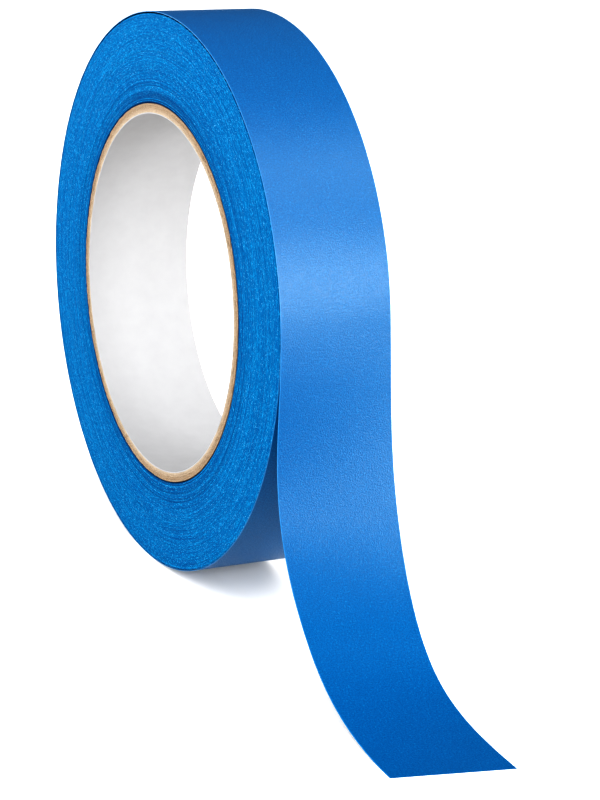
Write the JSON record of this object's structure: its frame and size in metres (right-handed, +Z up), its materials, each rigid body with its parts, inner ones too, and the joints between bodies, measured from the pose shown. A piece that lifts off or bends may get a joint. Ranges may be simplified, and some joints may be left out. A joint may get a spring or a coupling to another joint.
{
  "type": "masking tape roll",
  "caption": "Roll of blue crepe paper masking tape on a spiral-wound paper core, standing on its rim, with a free tail peeled off the front.",
  "frame": {"origin": "centre of the core's bore, midway across the tape's width", "axes": "+Y along the roll's axis, +Z up from the surface the roll stands on, +X towards the side where the tail leaves the roll"},
  "size_m": [0.1766, 0.024, 0.1186],
  "materials": {
    "liner_paper": "smooth white lining paper",
    "core_board": "matt brown board with a fibrous cut edge",
    "wound_tape": "slit edges of wound crepe paper tape, matt with fine turn lines",
    "tape_backing": "blue crepe paper with a satin release coat",
    "tape_adhesive": "clear tacky adhesive film, satin"
  },
  "bodies": {
    "outer_turn": {"outer_turn_backing": "tape_backing", "outer_turn_adhesive": "tape_adhesive"},
    "roll": {"core_liner": "liner_paper", "core_ply_1": "core_board", "core_ply_2": "core_board", "core_ply_3": "core_board", "core_ply_4": "core_board", "wound_tape": "wound_tape"},
    "tail": {"tail_backing": "tape_backing", "tail_adhesive": "tape_adhesive"}
  },
  "joints": [
    {"name": "unwind", "type": "hinge", "parent": "outer_turn", "child": "roll", "pos_m": [0, 0, 0], "axis": [0, 1, 0], "continuous": true},
    {"name": "tail_lift", "type": "hinge", "parent": "outer_turn", "child": "tail", "pos_m": [0.05862, 0, 0.00928], "axis": [0, -1, 0], "range_deg": [0, 90]}
  ]
}
